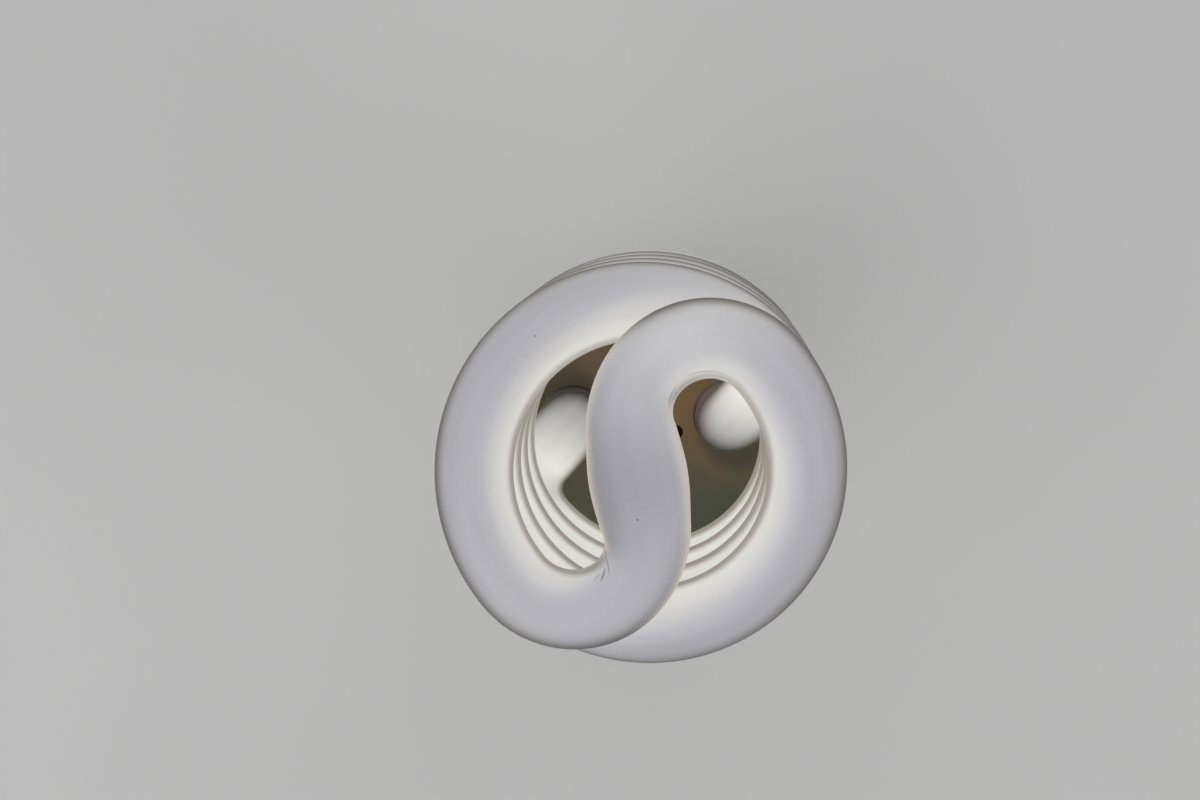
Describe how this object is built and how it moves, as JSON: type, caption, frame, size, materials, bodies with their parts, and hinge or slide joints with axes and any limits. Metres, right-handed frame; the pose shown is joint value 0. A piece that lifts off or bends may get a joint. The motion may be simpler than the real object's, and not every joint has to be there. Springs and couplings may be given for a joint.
{
  "type": "spiral energy saving bulb",
  "caption": "Spiral compact fluorescent bulb with a white double spiral tube, a tapered plastic base that holds its ballast, and a screw cap.",
  "frame": {"origin": "centre of the contact's outer face, on the lamp's axis at the lower end of the cap", "axes": "+Z along the lamp's axis from the cap to the tip of the coil, +X to the right and +Y up for someone who looks down on the tip with the S bridge upright"},
  "size_m": [0.0496, 0.0496, 0.1329],
  "materials": {
    "tube_glass": "white coating inside clear glass, glossy",
    "cover_plastic": "browned by heat towards the middle",
    "base_plastic": "fine satin",
    "cement": "rough",
    "cap_metal": "nickel plate, satin",
    "contact_metal": "satin",
    "cap_glass": "black, glossy",
    "board": "paper laminate",
    "bulk_sleeve": "shrunk sleeve",
    "ferrite": "dull grey",
    "bobbin_plastic": "moulded",
    "copper_winding": "enamelled copper",
    "film_case": "dipped",
    "diode_body": "moulded",
    "resistor_body": "lacquered",
    "trigger_glass": "small glass body",
    "transistor_body": "moulded",
    "lead_wire": "tinned",
    "wire_insulation": "sleeved"
  },
  "bodies": {
    "root": {"base_housing": "base_plastic", "bulk_capacitor": "bulk_sleeve", "cap_insulator": "cap_glass", "cap_shell": "cap_metal", "centre_contact": "contact_metal", "choke_bobbin": "bobbin_plastic", "choke_core_lower": "ferrite", "choke_core_upper": "ferrite", "choke_winding": "copper_winding", "circuit_board": "board", "contact_lead": "lead_wire", "coupling_capacitor": "film_case", "discharge_tube": "tube_glass", "electrode_wire_1": "lead_wire", "electrode_wire_2": "lead_wire", "electrode_wire_3": "lead_wire", "electrode_wire_4": "lead_wire", "feedback_toroid": "ferrite", "feedback_windings": "copper_winding", "fusible_resistor": "resistor_body", "input_inductor_core": "ferrite", "input_inductor_winding": "copper_winding", "live_lead": "wire_insulation", "neutral_lead": "wire_insulation", "rectifier_diode_1": "diode_body", "rectifier_diode_2": "diode_body", "rectifier_diode_3": "diode_body", "rectifier_diode_4": "diode_body", "resistor_1": "resistor_body", "resistor_2": "resistor_body", "resistor_3": "resistor_body", "resistor_4": "resistor_body", "resonance_capacitor": "film_case", "starting_capacitor": "film_case", "top_cover": "cover_plastic", "transistor_1": "transistor_body", "transistor_2": "transistor_body", "trigger_diode": "trigger_glass", "tube_cement_left": "cement", "tube_cement_right": "cement", "wire_pin_1": "lead_wire", "wire_pin_2": "lead_wire", "wire_pin_3": "lead_wire", "wire_pin_4": "lead_wire"}
  },
  "joints": []
}
